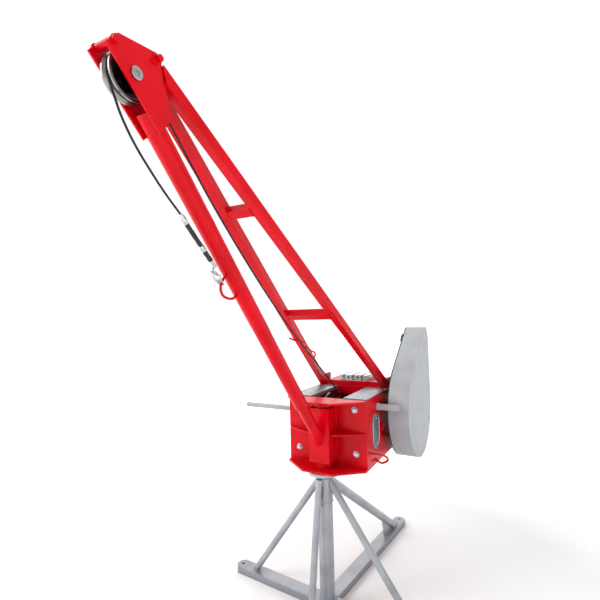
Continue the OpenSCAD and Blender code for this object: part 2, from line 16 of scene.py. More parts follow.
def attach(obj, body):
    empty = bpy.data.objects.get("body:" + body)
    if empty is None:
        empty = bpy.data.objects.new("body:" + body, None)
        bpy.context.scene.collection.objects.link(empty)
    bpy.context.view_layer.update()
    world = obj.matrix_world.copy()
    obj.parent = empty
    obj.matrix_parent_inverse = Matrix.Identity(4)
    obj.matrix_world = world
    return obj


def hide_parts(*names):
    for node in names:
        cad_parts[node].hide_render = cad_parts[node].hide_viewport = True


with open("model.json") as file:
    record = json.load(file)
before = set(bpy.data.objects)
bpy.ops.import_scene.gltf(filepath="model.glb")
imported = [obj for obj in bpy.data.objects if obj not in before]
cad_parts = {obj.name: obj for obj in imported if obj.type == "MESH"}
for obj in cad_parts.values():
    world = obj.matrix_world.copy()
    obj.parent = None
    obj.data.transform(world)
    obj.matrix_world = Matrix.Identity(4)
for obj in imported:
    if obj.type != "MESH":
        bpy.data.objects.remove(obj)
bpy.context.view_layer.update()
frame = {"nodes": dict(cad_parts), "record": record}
nodes = frame["nodes"]

# %% [markdown]
# ## Millimetres and the main points
# The drawing is in millimetres and Blender works in metres, so one small helper turns one into the other.
# The boom leaves the post at a fixed slope, and many pieces sit somewhere along it. A function for a point
# on the boom is safer than typing the same slope many times.

# %% Millimetre points
def mm(x, y, z):
    """A point given in millimetres, as a vector in metres."""
    return Vector((x, y, z)) * 0.001


BOOM_SLOPE = math.radians(48.7)
BOOM_WAY = Vector((0, -math.cos(BOOM_SLOPE), math.sin(BOOM_SLOPE)))
BOOM_ROOT = mm(0, -45, 688)
STAND_TURN = math.radians(-6)


def boom_point(s):
    """The point s millimetres up the boom's centre line."""
    return BOOM_ROOT + BOOM_WAY * (s * 0.001)


print("boom top at", [round(v, 3) for v in boom_point(1305)])

# %% [markdown]
# ## Camera and light
# The crane is seen from a standing person's height, close in front of its right side, with a wide lens. A
# wide lens this close makes the boom head look large and the far leg small. The sensor is 36 mm wide, and
# the turn of the camera comes from its three axes.

# %% The camera
right = Vector((0.87816, 0.47771, -0.02514)).normalized()
up = Vector((0.04051, -0.02190, 0.99894))
back = right.cross(up).normalized()
up = back.cross(right).normalized()
lens_camera = bpy.data.cameras.new("camera")
lens_camera.lens = 25.18
lens_camera.sensor_width = 36.0
lens_camera.dof.use_dof = False
camera = bpy.data.objects.new("camera", lens_camera)
bpy.context.scene.collection.objects.link(camera)
turn = Matrix((right, up, back)).transposed().to_4x4()
camera.matrix_world = Matrix.Translation((0.7656, -1.5843, 1.1828)) @ turn
bpy.context.scene.camera = camera
print("camera at", [round(v, 3) for v in camera.location])

# %% [markdown]
# ## A soft studio
# A product picture has no hard edges in its light: big square lamps act like windows, and a pale room fills
# the rest. The lamp on the left is the strongest, so round tubes get one long bright line and a darker
# side. Each lamp is aimed by turning its own -Z axis at a point on the crane. The room is white behind the
# crane and dimmer in front of it, so the lamps give the plates and tubes their shape.

# %% Lamps
def soft_lamp(name, place, aim, size, watts):
    """A square lamp of that size in metres, pointed at aim."""
    lamp = bpy.data.lights.new(name, "AREA")
    lamp.energy = watts
    lamp.shape = "RECTANGLE"
    lamp.size = size[0]
    lamp.size_y = size[1]
    holder = bpy.data.objects.new(name, lamp)
    bpy.context.scene.collection.objects.link(holder)
    way = Vector(aim) - Vector(place)
    holder.matrix_world = Matrix.Translation(place) @ way.to_track_quat("-Z", "Y").to_matrix().to_4x4()
    return holder


soft_lamp("window_left", (-2.6, -2.4, 3.0), (0, 0, 0.9), (1.6, 2.4), 92)
soft_lamp("window_right", (3.0, -1.6, 2.0), (0, 0, 0.8), (1.4, 1.8), 14)
soft_lamp("ceiling", (0.2, 0.2, 4.2), (0, 0, 0), (3.0, 3.0), 34)
soft_lamp("back_window", (-1.6, 3.4, 2.6), (0, 0, 0.9), (1.8, 1.8), 18)
world = bpy.data.worlds.new("pale_room")
bpy.context.scene.world = world
world.use_nodes = True
sky = world.node_tree
toward = sky.nodes.new("ShaderNodeTexCoord").outputs["Generated"]
behind = sky.nodes.new("ShaderNodeVectorMath")
behind.operation = "DOT_PRODUCT"
behind.inputs[1].default_value = (-0.48, 0.88, 0.0)
sky.links.new(toward, behind.inputs[0])
dimmer = sky.nodes.new("ShaderNodeMapRange")
for name, value in (("From Min", 0.1), ("From Max", 0.6), ("To Min", 0.6), ("To Max", 1.04)):
    dimmer.inputs[name].default_value = value
sky.links.new(behind.outputs["Value"], dimmer.inputs["Value"])
sky.nodes["Background"].inputs["Color"].default_value = (1.0, 1.0, 1.0, 1.0)
sky.links.new(dimmer.outputs["Result"], sky.nodes["Background"].inputs["Strength"])
bpy.context.scene.view_settings.view_transform = "Standard"

# %% [markdown]
# ## Tools for finishes
# Colours are easier to match as sRGB hex values, which is how a paint chart gives them, but the shader
# wants linear light. One function does that change. A second one adds a node, sets it and joins it up in a
# single line. Patterns read Object coordinates, which are metres here, so a scale of 400 means a feature of
# about 2.5 mm.

# %% Colour and node helpers
def linear(hex_colour):
    """An sRGB hex colour such as C0FFEE as linear red, green, blue and alpha."""
    parts = [int(hex_colour[i:i + 2], 16) / 255 for i in (0, 2, 4)]
    return tuple(c / 12.92 if c <= 0.04045 else ((c + 0.055) / 1.055) ** 2.4 for c in parts) + (1.0,)


def add_node(tree, kind, values=None, links=None, **settings):
    """Adds one node, sets its options and input values, and links its inputs."""
    made = tree.nodes.new(kind)
    for name, value in settings.items():
        setattr(made, name, value)
    for name, value in (values or {}).items():
        made.inputs[name].default_value = value
    for name, socket in (links or {}).items():
        tree.links.new(socket, made.inputs[name])
    return made


def new_finish(name, **uniform):
    """A material with its surface shader and Object coordinates; uniform values go straight on the shader."""
    finish = bpy.data.materials.new(name)
    finish.use_nodes = True
    tree = finish.node_tree
    shader = tree.nodes["Principled BSDF"]
    for key, value in uniform.items():
        shader.inputs[key.replace("_", " ")].default_value = value
    place = add_node(tree, "ShaderNodeTexCoord").outputs["Object"]
    return finish, tree, shader, place


def two_tones(tree, factor, low, high, start=0.35, end=0.65):
    """Mixes two colours by a grey pattern, with its contrast set by start and end."""
    spread = add_node(tree, "ShaderNodeMapRange", {"From Min": start, "From Max": end}, {"Value": factor})
    mixed = add_node(tree, "ShaderNodeMix", links={0: spread.outputs["Result"]}, data_type="RGBA")
    mixed.inputs[6].default_value = linear(low)
    mixed.inputs[7].default_value = linear(high)
    return mixed.outputs[2]


def rough_range(tree, factor, low, high):
    """Turns a grey pattern into a roughness between two values."""
    made = add_node(tree, "ShaderNodeMapRange", {"To Min": low, "To Max": high}, {"Value": factor})
    return made.outputs["Result"]


def relief(tree, height, distance, strength=1.0, soft_edge=0.0):
    """A bump of that many metres, on top of edges softened by soft_edge metres."""
    links = {"Height": height}
    if soft_edge:
        soft = add_node(tree, "ShaderNodeBevel", {"Radius": soft_edge}, samples=4)
        links["Normal"] = soft.outputs["Normal"]
    made = add_node(tree, "ShaderNodeBump", {"Distance": distance, "Strength": strength}, links)
    return made.outputs["Normal"]


print("signal red in linear light:", [round(c, 3) for c in linear("D8021C")])

# %% [markdown]
# ## Red powder coat
# Powder coat is dry plastic dust that is baked until it flows. It is thick, glossy and a little wavy, like
# orange peel, with waves 2 to 4 mm long. It softens every plate edge, which is why a thin bright line runs
# along them. A noise at 3 mm gives the waves, and a large slow noise makes the red a touch deeper in
# places, as dust and hands do.

# %% Red powder coat
def make_red_powder_coat():
    finish, tree, shader, place = new_finish("red_powder_coat", Coat_Weight=0.1, Coat_Roughness=0.12,
                                               Specular_IOR_Level=0.1)
    peel = add_node(tree, "ShaderNodeTexNoise", {"Scale": 320.0, "Detail": 1.0}, {"Vector": place})
    cloud = add_node(tree, "ShaderNodeTexNoise", {"Scale": 7.0, "Detail": 3.0}, {"Vector": place})
    tree.links.new(two_tones(tree, cloud.outputs["Fac"], "C0000E", "D20019"), shader.inputs["Base Color"])
    tree.links.new(rough_range(tree, cloud.outputs["Fac"], 0.24, 0.40), shader.inputs["Roughness"])
    bumps = relief(tree, peel.outputs["Fac"], 0.0004, 0.35, soft_edge=0.0016)
    tree.links.new(bumps, shader.inputs["Normal"])
    return finish


red_powder_coat = make_red_powder_coat()
print("made", red_powder_coat.name)

# %% [markdown]
# ## Silver stand paint
# The stand is sprayed with aluminium paint: tiny flakes lie flat in a clear binder, so it is half a metal
# and half a paint, and looks softer than bare steel. The flakes are far too small to show, so their sparkle
# is drawn at 1.5 mm. The paint is darkened within 5 cm of the floor as a painted contact shadow under the
# feet and floor beams, broken into patches by a slow noise.

# %% Silver stand paint
def make_silver_paint():
    finish, tree, shader, place = new_finish("silver_stand_paint", Metallic=0.45, Coat_Weight=0.1)
    flake = add_node(tree, "ShaderNodeTexNoise", {"Scale": 650.0, "Detail": 1.0}, {"Vector": place})
    cloud = add_node(tree, "ShaderNodeTexNoise", {"Scale": 9.0, "Detail": 5.0}, {"Vector": place})
    paint = two_tones(tree, cloud.outputs["Fac"], "92969D", "B2B5BB", 0.3, 0.7)
    # Painted contact shadow: the paint turns darker within 5 cm of the floor, in patches set by the slow noise.
    height = add_node(tree, "ShaderNodeSeparateXYZ", links={"Vector": place}).outputs["Z"]
    low = add_node(tree, "ShaderNodeMapRange", {"From Min": 0.05, "From Max": 0.0}, {"Value": height})
    floor_shadow_mask = add_node(tree, "ShaderNodeMath", links={0: low.outputs["Result"], 1: cloud.outputs["Fac"]},
                     operation="MULTIPLY")
    floor_shadowed_paint = add_node(tree, "ShaderNodeMix", links={0: floor_shadow_mask.outputs[0], 6: paint}, data_type="RGBA")
    floor_shadowed_paint.inputs[7].default_value = linear("6E6F71")
    tree.links.new(floor_shadowed_paint.outputs[2], shader.inputs["Base Color"])
    tree.links.new(rough_range(tree, flake.outputs["Fac"], 0.34, 0.52), shader.inputs["Roughness"])
    tree.links.new(relief(tree, flake.outputs["Fac"], 0.0002, 0.4, soft_edge=0.0012), shader.inputs["Normal"])
    return finish


silver_paint = make_silver_paint()
print("made", silver_paint.name)

# %% [markdown]
# ## Light grey sheet paint
# The guard, the covers and the push bars carry a satin light grey paint over rolled sheet. Sheet is never
# quite flat, so a very slow, shallow bump makes its reflections wander by a few centimetres.

# %% Light grey sheet paint
def make_sheet_paint():
    finish, tree, shader, place = new_finish("satin_grey_sheet_paint", Specular_IOR_Level=0.12)
    waves = add_node(tree, "ShaderNodeTexNoise", {"Scale": 14.0, "Detail": 1.0}, {"Vector": place})
    grain = add_node(tree, "ShaderNodeTexNoise", {"Scale": 420.0, "Detail": 2.0}, {"Vector": place})
    tree.links.new(two_tones(tree, waves.outputs["Fac"], "A3A6A9", "AAADB0"), shader.inputs["Base Color"])
    tree.links.new(rough_range(tree, grain.outputs["Fac"], 0.42, 0.56), shader.inputs["Roughness"])
    slow = relief(tree, waves.outputs["Fac"], 0.002, 0.2, soft_edge=0.0012)
    fine = add_node(tree, "ShaderNodeBump", {"Distance": 0.0002, "Strength": 0.3},
                    {"Height": grain.outputs["Fac"], "Normal": slow})
    tree.links.new(fine.outputs["Normal"], shader.inputs["Normal"])
    return finish


sheet_paint = make_sheet_paint()
print("made", sheet_paint.name)

# %% [markdown]
# ## Zinc plate and turned steel
# Bolts, the hook and the shackle are zinc plated, which is bright with a faint blue and slightly cloudy.
# The drum, the kingpin and the axle are turned in a lathe, and the tool leaves fine rings round the X axis.
# A ring pattern needs the distance from the lathe axis, and a Mapping node moves that axis to the pattern's
# centre.

# %% Zinc plate
def make_zinc():
    finish, tree, shader, place = new_finish("bright_zinc_plate", Metallic=1.0)
    cloud = add_node(tree, "ShaderNodeTexNoise", {"Scale": 160.0, "Detail": 4.0}, {"Vector": place})
    tree.links.new(two_tones(tree, cloud.outputs["Fac"], "A9ADB3", "D0D3D7"), shader.inputs["Base Color"])
    tree.links.new(rough_range(tree, cloud.outputs["Fac"], 0.2, 0.42), shader.inputs["Roughness"])
    tree.links.new(relief(tree, cloud.outputs["Fac"], 0.0001, 0.4, soft_edge=0.0006), shader.inputs["Normal"])
    return finish


zinc = make_zinc()


# %% Dull galvanised sheet
def make_galvanised():
    """Hot-dipped sheet: crystals 8 mm across, each a slightly different grey, gone dull."""
    finish, tree, shader, place = new_finish("dull_galvanised_sheet", Metallic=0.75)
    crystals = add_node(tree, "ShaderNodeTexVoronoi", {"Scale": 120.0}, {"Vector": place})
    cloud = add_node(tree, "ShaderNodeTexNoise", {"Scale": 30.0, "Detail": 4.0}, {"Vector": place})
    split = add_node(tree, "ShaderNodeSeparateColor", links={"Color": crystals.outputs["Color"]})
    tree.links.new(two_tones(tree, split.outputs["Red"], "84888B", "9EA2A5", 0.0, 1.0), shader.inputs["Base Color"])
    tree.links.new(rough_range(tree, cloud.outputs["Fac"], 0.35, 0.55), shader.inputs["Roughness"])
    tree.links.new(relief(tree, cloud.outputs["Fac"], 0.0002, 0.4, soft_edge=0.0008), shader.inputs["Normal"])
    return finish


galvanised = make_galvanised()


# %% Turned steel
def make_turned_steel(name, centre, dark, light, rough, turned_about="X"):
    """Steel with lathe rings about a line through centre, along X or Z."""
    finish, tree, shader, place = new_finish(name, Metallic=1.0)
    moved = add_node(tree, "ShaderNodeMapping", {"Location": [-c for c in centre]}, {"Vector": place})
    rings = add_node(tree, "ShaderNodeTexWave", {"Scale": 90.0, "Distortion": 0.6, "Detail": 2.0},
                     {"Vector": moved.outputs["Vector"]}, wave_type="RINGS", rings_direction=turned_about)
    stain = add_node(tree, "ShaderNodeTexNoise", {"Scale": 40.0, "Detail": 4.0}, {"Vector": place})
    tree.links.new(two_tones(tree, stain.outputs["Fac"], dark, light), shader.inputs["Base Color"])
    tree.links.new(rough_range(tree, stain.outputs["Fac"], *rough), shader.inputs["Roughness"])
    tree.links.new(relief(tree, rings.outputs["Fac"], 0.0001, 0.5, soft_edge=0.0006), shader.inputs["Normal"])
    return finish


drum_steel = make_turned_steel("turned_drum_steel", (0, 0.2, 0.74), "7C7E80", "B2B4B6", (0.25, 0.5))
axle_steel = make_turned_steel("turned_axle_steel", (0, -0.958, 1.724), "9A9C9F", "C8CACC", (0.2, 0.38))
pin_steel = make_turned_steel("turned_kingpin_steel", (0, 0, 0.6), "8A8C8E", "B8BABC", (0.2, 0.4), "Z")
bush_bronze = make_turned_steel("turned_bearing_bronze", (0, 0, 0.6), "8A6430", "C9A35A", (0.25, 0.45), "Z")
shaft_steel = make_turned_steel("oiled_dark_shaft_steel", (0, 0.421, 0.745), "2A2A2C", "4C4C4F", (0.25, 0.5))
print("made", zinc.name, drum_steel.name, axle_steel.name, pin_steel.name, bush_bronze.name, shaft_steel.name)

# %% [markdown]
# ## The head sheave
# The sheave is dark oiled steel. The rope polishes its groove, and its groove and rims get a lighter colour
# that is partly that polish and partly a painted highlight on the rims. The distance from its axle tells the
# two apart, so the colour is a blend by radius rather than a second material.

# %% Sheave steel
def make_sheave_steel():
    finish, tree, shader, place = new_finish("sheave_steel_polished_and_highlit_rims", Metallic=1.0)
    moved = add_node(tree, "ShaderNodeMapping", {"Location": (0, 0.958, -1.724), "Scale": (0, 1, 1)},
                     {"Vector": place})
    radius = add_node(tree, "ShaderNodeVectorMath", links={0: moved.outputs["Vector"]}, operation="LENGTH")
    # The light colour beyond this radius is rope polish and, on the rims, a painted highlight.
    rim = add_node(tree, "ShaderNodeMapRange", {"From Min": 0.0478, "From Max": 0.0505},
                   {"Value": radius.outputs["Value"]})
    scuff = add_node(tree, "ShaderNodeTexNoise", {"Scale": 130.0, "Detail": 4.0}, {"Vector": place})
    plain = two_tones(tree, scuff.outputs["Fac"], "202123", "3C3D40")
    mixed = add_node(tree, "ShaderNodeMix", links={0: rim.outputs["Result"], 6: plain}, data_type="RGBA")
    mixed.inputs[7].default_value = linear("94928F")
    tree.links.new(mixed.outputs[2], shader.inputs["Base Color"])
    tree.links.new(rough_range(tree, scuff.outputs["Fac"], 0.22, 0.45), shader.inputs["Roughness"])
    tree.links.new(relief(tree, scuff.outputs["Fac"], 0.0001, 0.4), shader.inputs["Normal"])
    return finish


sheave_steel = make_sheave_steel()
print("made", sheave_steel.name)

# %% [markdown]
# ## Drawn aluminium, black machine paint, rubber, chain and rope
# The deck profile is pressed through a die, which leaves straight fine lines along its length. A noise that
# is stretched a hundred times along Y gives those lines, and the grooves stay dark because light can't
# reach them. Cast pulleys wear a thick dull black. Rope is greased, so it is nearly black with small bright
# spots.

# %% Extruded aluminium
def make_extruded():
    finish, tree, shader, place = new_finish("extruded_aluminium", Metallic=1.0)
    stretched = add_node(tree, "ShaderNodeMapping", {"Scale": (1.0, 0.01, 1.0)}, {"Vector": place})
    lines = add_node(tree, "ShaderNodeTexNoise", {"Scale": 700.0, "Detail": 2.0},
                     {"Vector": stretched.outputs["Vector"]})
    tree.links.new(two_tones(tree, lines.outputs["Fac"], "B3B5B7", "DCDDDE"), shader.inputs["Base Color"])
    tree.links.new(rough_range(tree, lines.outputs["Fac"], 0.28, 0.45), shader.inputs["Roughness"])
    tree.links.new(relief(tree, lines.outputs["Fac"], 0.0001, 0.5), shader.inputs["Normal"])
    return finish


# %% Dark finishes
def make_dull(name, low, high, rough, grain_mm, metallic=0.0, bump=0.0003):
    """A dull, grainy finish whose grain has that size in millimetres."""
    finish, tree, shader, place = new_finish(name, Metallic=metallic)
    scale = 1000.0 / grain_mm
    grain = add_node(tree, "ShaderNodeTexNoise", {"Scale": scale, "Detail": 3.0}, {"Vector": place})
    tree.links.new(two_tones(tree, grain.outputs["Fac"], low, high), shader.inputs["Base Color"])
    tree.links.new(rough_range(tree, grain.outputs["Fac"], *rough), shader.inputs["Roughness"])
    tree.links.new(relief(tree, grain.outputs["Fac"], bump, 0.5, soft_edge=0.0008), shader.inputs["Normal"])
    return finish


extruded = make_extruded()
black_paint = make_dull("black_machine_paint", "141416", "232325", (0.4, 0.65), 3.0)
belt_rubber = make_dull("ribbed_belt_rubber", "0C0C0C", "1A1A1A", (0.6, 0.85), 1.5)
chain_steel = make_dull("oiled_chain_steel", "2B2A29", "5B5957", (0.25, 0.5), 2.0, 0.9, 0.0001)
rope_steel = make_dull("greased_wire_rope", "0B0B0C", "34353A", (0.28, 0.55), 2.0, 0.6, 0.0001)
sleeve_rubber = make_dull("black_shrink_sleeve", "070707", "141416", (0.35, 0.55), 6.0, 0.0, 0.0002)
print("made", extruded.name, black_paint.name, belt_rubber.name, chain_steel.name, rope_steel.name)

# %% [markdown]
# ## Paint the drawn parts
# Every drawn part names a material slot in its record, so one table from slot to finish paints all of them.
# A few parts in one slot are turned about different axes, and a second table gives those their own steel.

# %% Finishes on the CAD nodes
FINISH_OF_SLOT = {
    "stand_silver_paint": silver_paint,
    "red_powder_coat": red_powder_coat,
    "bright_steel": drum_steel,
    "zinc_plated_steel": zinc,
    "bushing_bronze": bush_bronze,
    "extruded_aluminium": extruded,
    "grey_sheet_metal": sheet_paint,
    "galvanised_sheet": galvanised,
    "black_machinery_paint": black_paint,
    "oiled_dark_steel": shaft_steel,
    "belt_rubber": belt_rubber,
    "black_wire_rope": rope_steel,
}
FINISH_OF_NODE = {
    "kingpin": pin_steel,
    "axle_pin": axle_steel,
    "sheave": sheave_steel,
    "drive_chain": chain_steel,
}
for part in frame["record"]["subparts"]:
    node = nodes[part["node"]]
    finish = FINISH_OF_NODE.get(part["node"], FINISH_OF_SLOT[part["material_slot"]])
    if not node.material_slots:
        node.data.materials.append(finish)
    for material_slot in node.material_slots:
        material_slot.material = finish

# %% [markdown]
# ## Round wires and beads
# Rope, weld beads and bent round bar are all a circle that runs along a line. A curve with a round bevel
# makes that shape in one step, and its points can each have their own thickness. The curve is then turned
# into a mesh, so it rides, exports and takes a finish like any other piece.

# %% From curve to mesh piece
def finish_piece(piece, body, finish, replaced=()):
    """Paints a piece, joins it to its body and hides the drawn parts it stands for."""
    piece.data.materials.clear()
    piece.data.materials.append(finish)
    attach(piece, body)
    if replaced:
        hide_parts(*replaced)
    return piece


def mesh_piece(name, bm, smooth_below=40):
    """A new object from a bmesh, smooth where its faces meet at less than that angle in degrees."""
    bmesh.ops.remove_doubles(bm, verts=bm.verts, dist=1e-6)
    bmesh.ops.recalc_face_normals(bm, faces=bm.faces)
    for face in bm.faces:
        face.smooth = True
    for edge in bm.edges:
        if len(edge.link_faces) == 2:
            edge.smooth = edge.calc_face_angle(0) < math.radians(smooth_below)
    mesh = bpy.data.meshes.new(name)
    bm.to_mesh(mesh)
    bm.free()
    piece = bpy.data.objects.new(name, mesh)
    bpy.context.scene.collection.objects.link(piece)
    return piece


def wires(name, runs, radius, sides=10, rounded=False):
    """One mesh of round wires. Each run is (points, closed) or (points, closed, thickness of each point)."""
    line = bpy.data.curves.new(name, "CURVE")
    line.dimensions = "3D"
    line.bevel_depth = radius
    line.bevel_resolution = max(0, sides // 2 - 2)
    line.use_fill_caps = True
    line.resolution_u = 6
    for run in runs:
        points, closed = run[0], run[1]
        thickness = run[2] if len(run) > 2 else [1.0] * len(points)
        if rounded:
            spline = line.splines.new("BEZIER")
            spline.bezier_points.add(len(points) - 1)
            for knot, point, size in zip(spline.bezier_points, points, thickness):
                knot.co = point
                knot.radius = size
                knot.handle_left_type = knot.handle_right_type = "AUTO"
        else:
            spline = line.splines.new("POLY")
            spline.points.add(len(points) - 1)
            for knot, point, size in zip(spline.points, points, thickness):
                knot.co = (*point, 1.0)
                knot.radius = size
        spline.use_cyclic_u = closed
    holder = bpy.data.objects.new(name, line)
    bpy.context.scene.collection.objects.link(holder)
    shape = bpy.data.meshes.new_from_object(holder.evaluated_get(bpy.context.evaluated_depsgraph_get()))
    bpy.data.objects.remove(holder)
    bpy.data.curves.remove(line)
    bm = bmesh.new()
    bm.from_mesh(shape)
    bpy.data.meshes.remove(shape)
    return mesh_piece(name, bm, 50)


def evenly(points, step, closed=False):
    """Points every step metres along a line of points."""
    chain = list(points) + ([points[0]] if closed else [])
    lengths = [(b - a).length for a, b in zip(chain, chain[1:])]
    total = sum(lengths)
    count = max(3, round(total / step))
    placed, spot, walked, index = [], 0.0, 0.0, 0
    for k in range(count + (0 if closed else 1)):
        spot = total * k / count
        while index < len(lengths) - 1 and spot > walked + lengths[index]:
            walked += lengths[index]
            index += 1
        t = min(1.0, (spot - walked) / max(lengths[index], 1e-9))
        placed.append(chain[index].lerp(chain[index + 1], t))
    return placed


def line_length(points):
    """The length of a line of points, in metres."""
    return sum((b - a).length for a, b in zip(points, points[1:]))


print("wire tools ready")

# %% [markdown]
# ## The hoist rope
# The rope leaves the drum, rises in a slack line between the ties, goes over the sheave and comes back to a
# hook on the boom. It is 6 mm wire rope: six strands laid round a core, and one strand goes once round in
# about 40 mm. A bump could only paint that twist, so each strand is a real thin wire on a long screw line.
# The route lies in one plane, so the X axis and the line's own normal carry the screw without any twist
# trouble.

# %% Route of the rope
ROPE_RADIUS = 0.003
SHEAVE = mm(0, -958, 1724)
LEAD_RADIUS = 0.0513


def on_sheave(degrees, radius=LEAD_RADIUS):
    """A point of the rope on the sheave, at that angle above the front horizontal."""
    a = math.radians(degrees)
    return SHEAVE + Vector((0, math.cos(a), math.sin(a))) * radius


rope_route = [mm(0, y, z) for y, z in (
    (232, 778), (157, 842), (95, 893), (0, 960), (-113, 1036), (-200, 1098), (-300, 1173), (-420, 1271),
    (-540, 1376), (-668, 1496), (-742, 1573), (-811, 1649), (-870, 1709))]
rope_route += [on_sheave(a) for a in range(45, 206, 10)]
rope_route += [mm(0, y, z) for y, z in ((-990, 1667), (-973, 1629), (-938, 1579), (-893, 1532), (-848, 1489),
                                        (-798, 1449))]


def smoothed(points, times):
    """Rounds the corners of a line by cutting each one, and keeps both ends."""
    for _ in range(times):
        cut = [points[0]]
        for a, b in zip(points, points[1:]):
            cut += [a.lerp(b, 0.25), a.lerp(b, 0.75)]
        points = cut + [points[-1]]
    return points


rope_line = evenly(smoothed(rope_route, 2), 0.003)
print("rope length outside the drum: %.3f m" % line_length(rope_line))

# %% Laid strands
def laid_rope(name, line, lay=0.038, strands=6):
    """Wire rope along a line in a plane of constant X: strands on a screw line round a core."""
    strand = ROPE_RADIUS / 3
    runs = [(line, False, [1.25] * len(line))]
    for s in range(strands):
        points = []
        walked = 0.0
        for i, here in enumerate(line):
            ahead = line[min(i + 1, len(line) - 1)] - line[max(i - 1, 0)]
            side = Vector((1, 0, 0))
            normal = side.cross(ahead).normalized()
            angle = math.tau * (walked / lay + s / strands)
            points.append(here + (side * math.cos(angle) + normal * math.sin(angle)) * strand * 1.95)
            if i + 1 < len(line):
                walked += (line[i + 1] - here).length
        runs.append((points, False))
    return wires(name, runs, strand, sides=6)


hoist_rope = laid_rope("hoist_rope_strands", rope_line)
finish_piece(hoist_rope, "turret", rope_steel, ["hoist_rope"])
print(hoist_rope.name, len(hoist_rope.data.polygons), "faces")

# %% [markdown]
# ## Rope wound on the drum
# Under the covers the rope lies in close turns on the drum, one rope width apart. They turn with the drum,
# so this coil rides on the drum's body and not on the housing.

# %% Wound turns
turns, per_turn = 16, 40
coil_points = []
for k in range(turns * per_turn + 1):
    a = math.tau * k / per_turn
    x = -0.0505 + 0.101 * k / (turns * per_turn)
    coil_points.append(mm(0, 200, 740) + Vector((x, 0.0436 * math.cos(a), 0.0436 * math.sin(a))))
wound_rope = wires("wound_rope_turns", [(coil_points, False)], ROPE_RADIUS, sides=8)
finish_piece(wound_rope, "drum_body", rope_steel)
print(wound_rope.name, "holds %.2f m" % line_length(coil_points))

# %% [markdown]
# ## Turned rope terminals
# The rope ends in a pressed steel socket, then sleeves that grip the loop, and last the hook's own socket.
# All of them are turned or pressed round the rope's line, so each is a short outline that is spun once
# round. The outline is drawn with its length along Z, and the finished part is then turned onto the rope's
# direction.

# %% Spin an outline
def turned(name, start, end, outline, steps=28):
    """Spins (share of length, radius in mm) pairs round the line from start to end."""
    length = (end - start).length
    bm = bmesh.new()
    verts = [bm.verts.new((r * 0.001, 0, t * length)) for t, r in outline]
    first = bm.verts.new((0, 0, outline[0][0] * length))
    last = bm.verts.new((0, 0, outline[-1][0] * length))
    verts = [first] + verts + [last]
    edges = [bm.edges.new(pair) for pair in zip(verts, verts[1:])]
    bmesh.ops.spin(bm, geom=verts + edges, cent=(0, 0, 0), axis=(0, 0, 1), dvec=(0, 0, 0), angle=math.tau,
                   steps=steps, use_merge=True, use_duplicate=False)
    place = Matrix.Translation(start) @ (end - start).to_track_quat("Z", "X").to_matrix().to_4x4()
    bmesh.ops.transform(bm, matrix=place, verts=bm.verts)
    return mesh_piece(name, bm, 35)


# %% The terminals
def rounded_ends(radius, soft=0.06, lip=0.82):
    """A plain sleeve outline with softened ends."""
    return [(0.0, radius * lip), (soft * 0.4, radius * 0.95), (soft, radius), (1 - soft, radius),
            (1 - soft * 0.4, radius * 0.95), (1.0, radius * lip)]


socket = turned("pressed_rope_socket", mm(0, -799, 1449.6), mm(0, -778, 1428),
                [(0, 3.6), (0.04, 4.4), (0.1, 4.6), (0.22, 6.6), (0.32, 7.5), (0.78, 7.5), (0.86, 6.8),
                 (1, 6.6)])
upper_sleeve = turned("long_black_sleeve", mm(0, -779, 1429), mm(0, -724, 1378),
                      [(0, 5.0), (0.02, 6.0), (0.07, 6.5), (0.3, 6.2), (0.34, 6.6), (0.62, 6.6), (0.66, 6.1),
                       (0.93, 6.5), (0.98, 6.0), (1, 5.0)])
collar = turned("steel_crimp_collar", mm(0, -725, 1379), mm(0, -711, 1365),
                [(0, 6.0), (0.05, 7.6), (0.14, 8.4), (0.4, 8.5), (0.46, 7.6), (0.54, 7.6), (0.6, 8.5),
                 (0.86, 8.4), (0.95, 7.6), (1, 6.0)])
lower_sleeve = turned("double_black_sleeve", mm(0, -712, 1366), mm(0, -684, 1342),
                      [(0, 5.0), (0.04, 6.5), (0.1, 7.0), (0.42, 7.0), (0.47, 5.8), (0.53, 5.8), (0.58, 7.0),
                       (0.9, 7.0), (0.96, 6.5), (1, 5.0)])
ferrule = turned("pale_end_ferrule", mm(0, -686, 1343.6), mm(0, -667, 1328), rounded_ends(5.0))
for piece in (socket, collar, ferrule):
    finish_piece(piece, "turret", zinc)
for piece in (upper_sleeve, lower_sleeve):
    finish_piece(piece, "turret", sleeve_rubber)
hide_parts("rope_fittings")
print("terminals:", socket.name, upper_sleeve.name, collar.name, lower_sleeve.name, ferrule.name)

# %% [markdown]
# ## Hook, shackle and eyes
# A forged hook is thick in the bowl, where the load sits, and thin at the tip, so its line carries a
# changing thickness. Bezier points with automatic handles pass through the drawn points in one smooth bend.
# The red handle, the side loop and the lead eyes are bent round bar, welded on before painting.

# %% Hook and shackle
hook_line = [mm(0, -669, 1329), mm(0, -677, 1321), mm(0, -680, 1311), mm(0, -677, 1300), mm(0, -669, 1291),
             mm(0, -658, 1286), mm(0, -649, 1288), mm(0, -645, 1296), mm(0, -647, 1306)]
hook_taper = [1.0, 1.0, 0.98, 1.02, 1.12, 1.12, 1.0, 0.85, 0.62]
hook_body = wires("forged_hook", [(hook_line, False, hook_taper)], 0.0031, sides=12, rounded=True)
finish_piece(hook_body, "turret", zinc, ["hook"])
hook_socket = turned("hook_socket", mm(0, -667, 1331.5), mm(0, -673.5, 1323),
                     [(0, 4.0), (0.12, 5.2), (0.2, 5.6), (0.7, 5.6), (0.85, 4.8), (1, 3.4)])
hook_rivet = turned("latch_rivet", mm(-6, -679, 1314), mm(6, -679, 1314),
                    [(0, 1.0), (0.02, 1.4), (0.98, 1.4), (1, 1.0)], 16)
for piece in (hook_socket, hook_rivet):
    finish_piece(piece, "turret", zinc)
